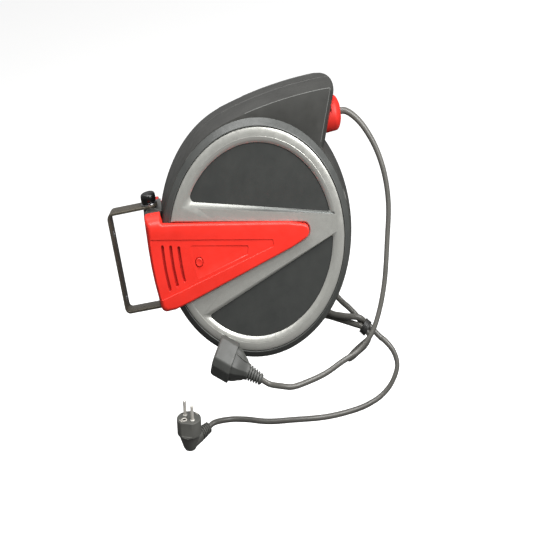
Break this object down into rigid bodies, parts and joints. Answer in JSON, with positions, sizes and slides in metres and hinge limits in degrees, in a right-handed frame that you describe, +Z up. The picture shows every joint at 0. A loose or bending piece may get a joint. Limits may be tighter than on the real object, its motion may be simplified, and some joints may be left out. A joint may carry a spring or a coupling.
{
  "type": "extension cord reel",
  "caption": "Wall-mounted spring-driven extension cord reel on a swivel bracket, round grey casing with silver trim, red side cover, cable outlet, coupler and plug.",
  "frame": {"origin": "on the back face of the bracket's wall plate, at the height of the drum axis", "axes": "+X along the reel housing from its swivel end towards its cable outlet, +Z up, -Y is the front face; the wall plate is turned 12 degrees about Z from these axes, as the reel hangs in its picture"},
  "size_m": [0.4162, 0.1874, 0.4014],
  "materials": {
    "case_plastic": "fine textured",
    "red_plastic": "satin",
    "silver_trim": "metallic paint",
    "bracket_steel": "gloss black",
    "knob_black": "gloss",
    "bright_steel": "ground",
    "nickel": "nickel plated",
    "brass": "turned brass",
    "cord_rubber": "matte",
    "plug_rubber": "matte",
    "inner_plastic": "moulded",
    "bearing_plastic": "moulded",
    "brush_carbon": "graphite"
  },
  "bodies": {
    "bracket": {"wall_bracket": "bracket_steel"},
    "pin": {"swivel_pin": "bright_steel", "pin_washer": "bright_steel", "pin_knob": "knob_black"},
    "housing": {"casing_rear": "case_plastic", "casing_front": "case_plastic", "supply_cord": "cord_rubber", "output_cable": "cord_rubber", "cable_outlet": "red_plastic", "side_cover_front": "red_plastic", "trim_front": "silver_trim", "trim_rear": "silver_trim", "coupler_boot": "cord_rubber", "side_cover_rear": "red_plastic", "plug_body": "plug_rubber", "pivot_block": "case_plastic", "cord_gland": "plug_rubber", "coupler_body": "cord_rubber", "pivot_bush_upper": "bearing_plastic", "pivot_bush_lower": "bearing_plastic", "cord_tie": "plug_rubber", "pawl_spring": "bright_steel", "main_axle": "bright_steel", "pawl_pin": "bright_steel", "plug_pin_left": "nickel", "plug_pin_right": "nickel", "roller_pin_upper": "bright_steel", "roller_pin_lower": "bright_steel", "casing_screw_1": "bright_steel", "casing_screw_2": "bright_steel", "casing_screw_3": "bright_steel", "casing_screw_4": "bright_steel", "casing_screw_5": "bright_steel", "casing_screw_6": "bright_steel", "casing_screw_7": "bright_steel", "brush_holder": "inner_plastic", "thermal_switch": "inner_plastic", "contact_brush_live": "brush_carbon", "contact_brush_neutral": "brush_carbon", "contact_brush_earth": "brush_carbon", "plug_earth_strip_front": "nickel", "plug_earth_strip_back": "nickel"},
    "drum": {"drum_core": "inner_plastic", "drum_flange_front": "inner_plastic", "drum_flange_rear": "inner_plastic", "wound_cable": "cord_rubber", "spiral_spring": "bright_steel", "spring_lid": "inner_plastic", "ratchet_wheel": "inner_plastic", "slip_ring_carrier": "inner_plastic", "slip_ring_live": "brass", "slip_ring_neutral": "brass", "slip_ring_earth": "brass", "axle_bush_front": "brass", "axle_bush_rear": "brass"},
    "roller_upper": {"guide_roller_upper": "bearing_plastic"},
    "roller_lower": {"guide_roller_lower": "bearing_plastic"},
    "pawl": {"ratchet_pawl": "bright_steel"},
    "button": {"reset_button": "red_plastic"}
  },
  "joints": [
    {"name": "housing_swivel", "type": "hinge", "parent": "bracket", "child": "housing", "pos_m": [0.063, -0.013, 0], "axis": [0, 0, 1], "range_deg": [-101, 79]},
    {"name": "pin_lift", "type": "slide", "parent": "bracket", "child": "pin", "axis": [0, 0, 1], "range_m": [0, 0.14]},
    {"name": "drum_spin", "type": "hinge", "parent": "housing", "child": "drum", "pos_m": [0.2105, -0.013, 0], "axis": [0, 1, 0], "continuous": true},
    {"name": "roller_upper_spin", "type": "hinge", "parent": "housing", "child": "roller_upper", "pos_m": [0.3025, -0.013, 0.11835], "axis": [0, 1, 0], "continuous": true},
    {"name": "roller_lower_spin", "type": "hinge", "parent": "housing", "child": "roller_lower", "pos_m": [0.3025, -0.013, 0.09765], "axis": [0, 1, 0], "continuous": true},
    {"name": "pawl_swing", "type": "hinge", "parent": "housing", "child": "pawl", "pos_m": [0.2105, -0.013, -0.066], "axis": [0, 1, 0], "range_deg": [0, 14]},
    {"name": "reset_press", "type": "slide", "parent": "housing", "child": "button", "axis": [0, 1, 0], "range_m": [0, 0.003], "stiffness_N_per_m": 300}
  ],
  "couplings": [
    {"joint": "roller_upper_spin", "follows": "drum_spin", "ratio": -17},
    {"joint": "roller_lower_spin", "follows": "drum_spin", "ratio": 17}
  ]
}
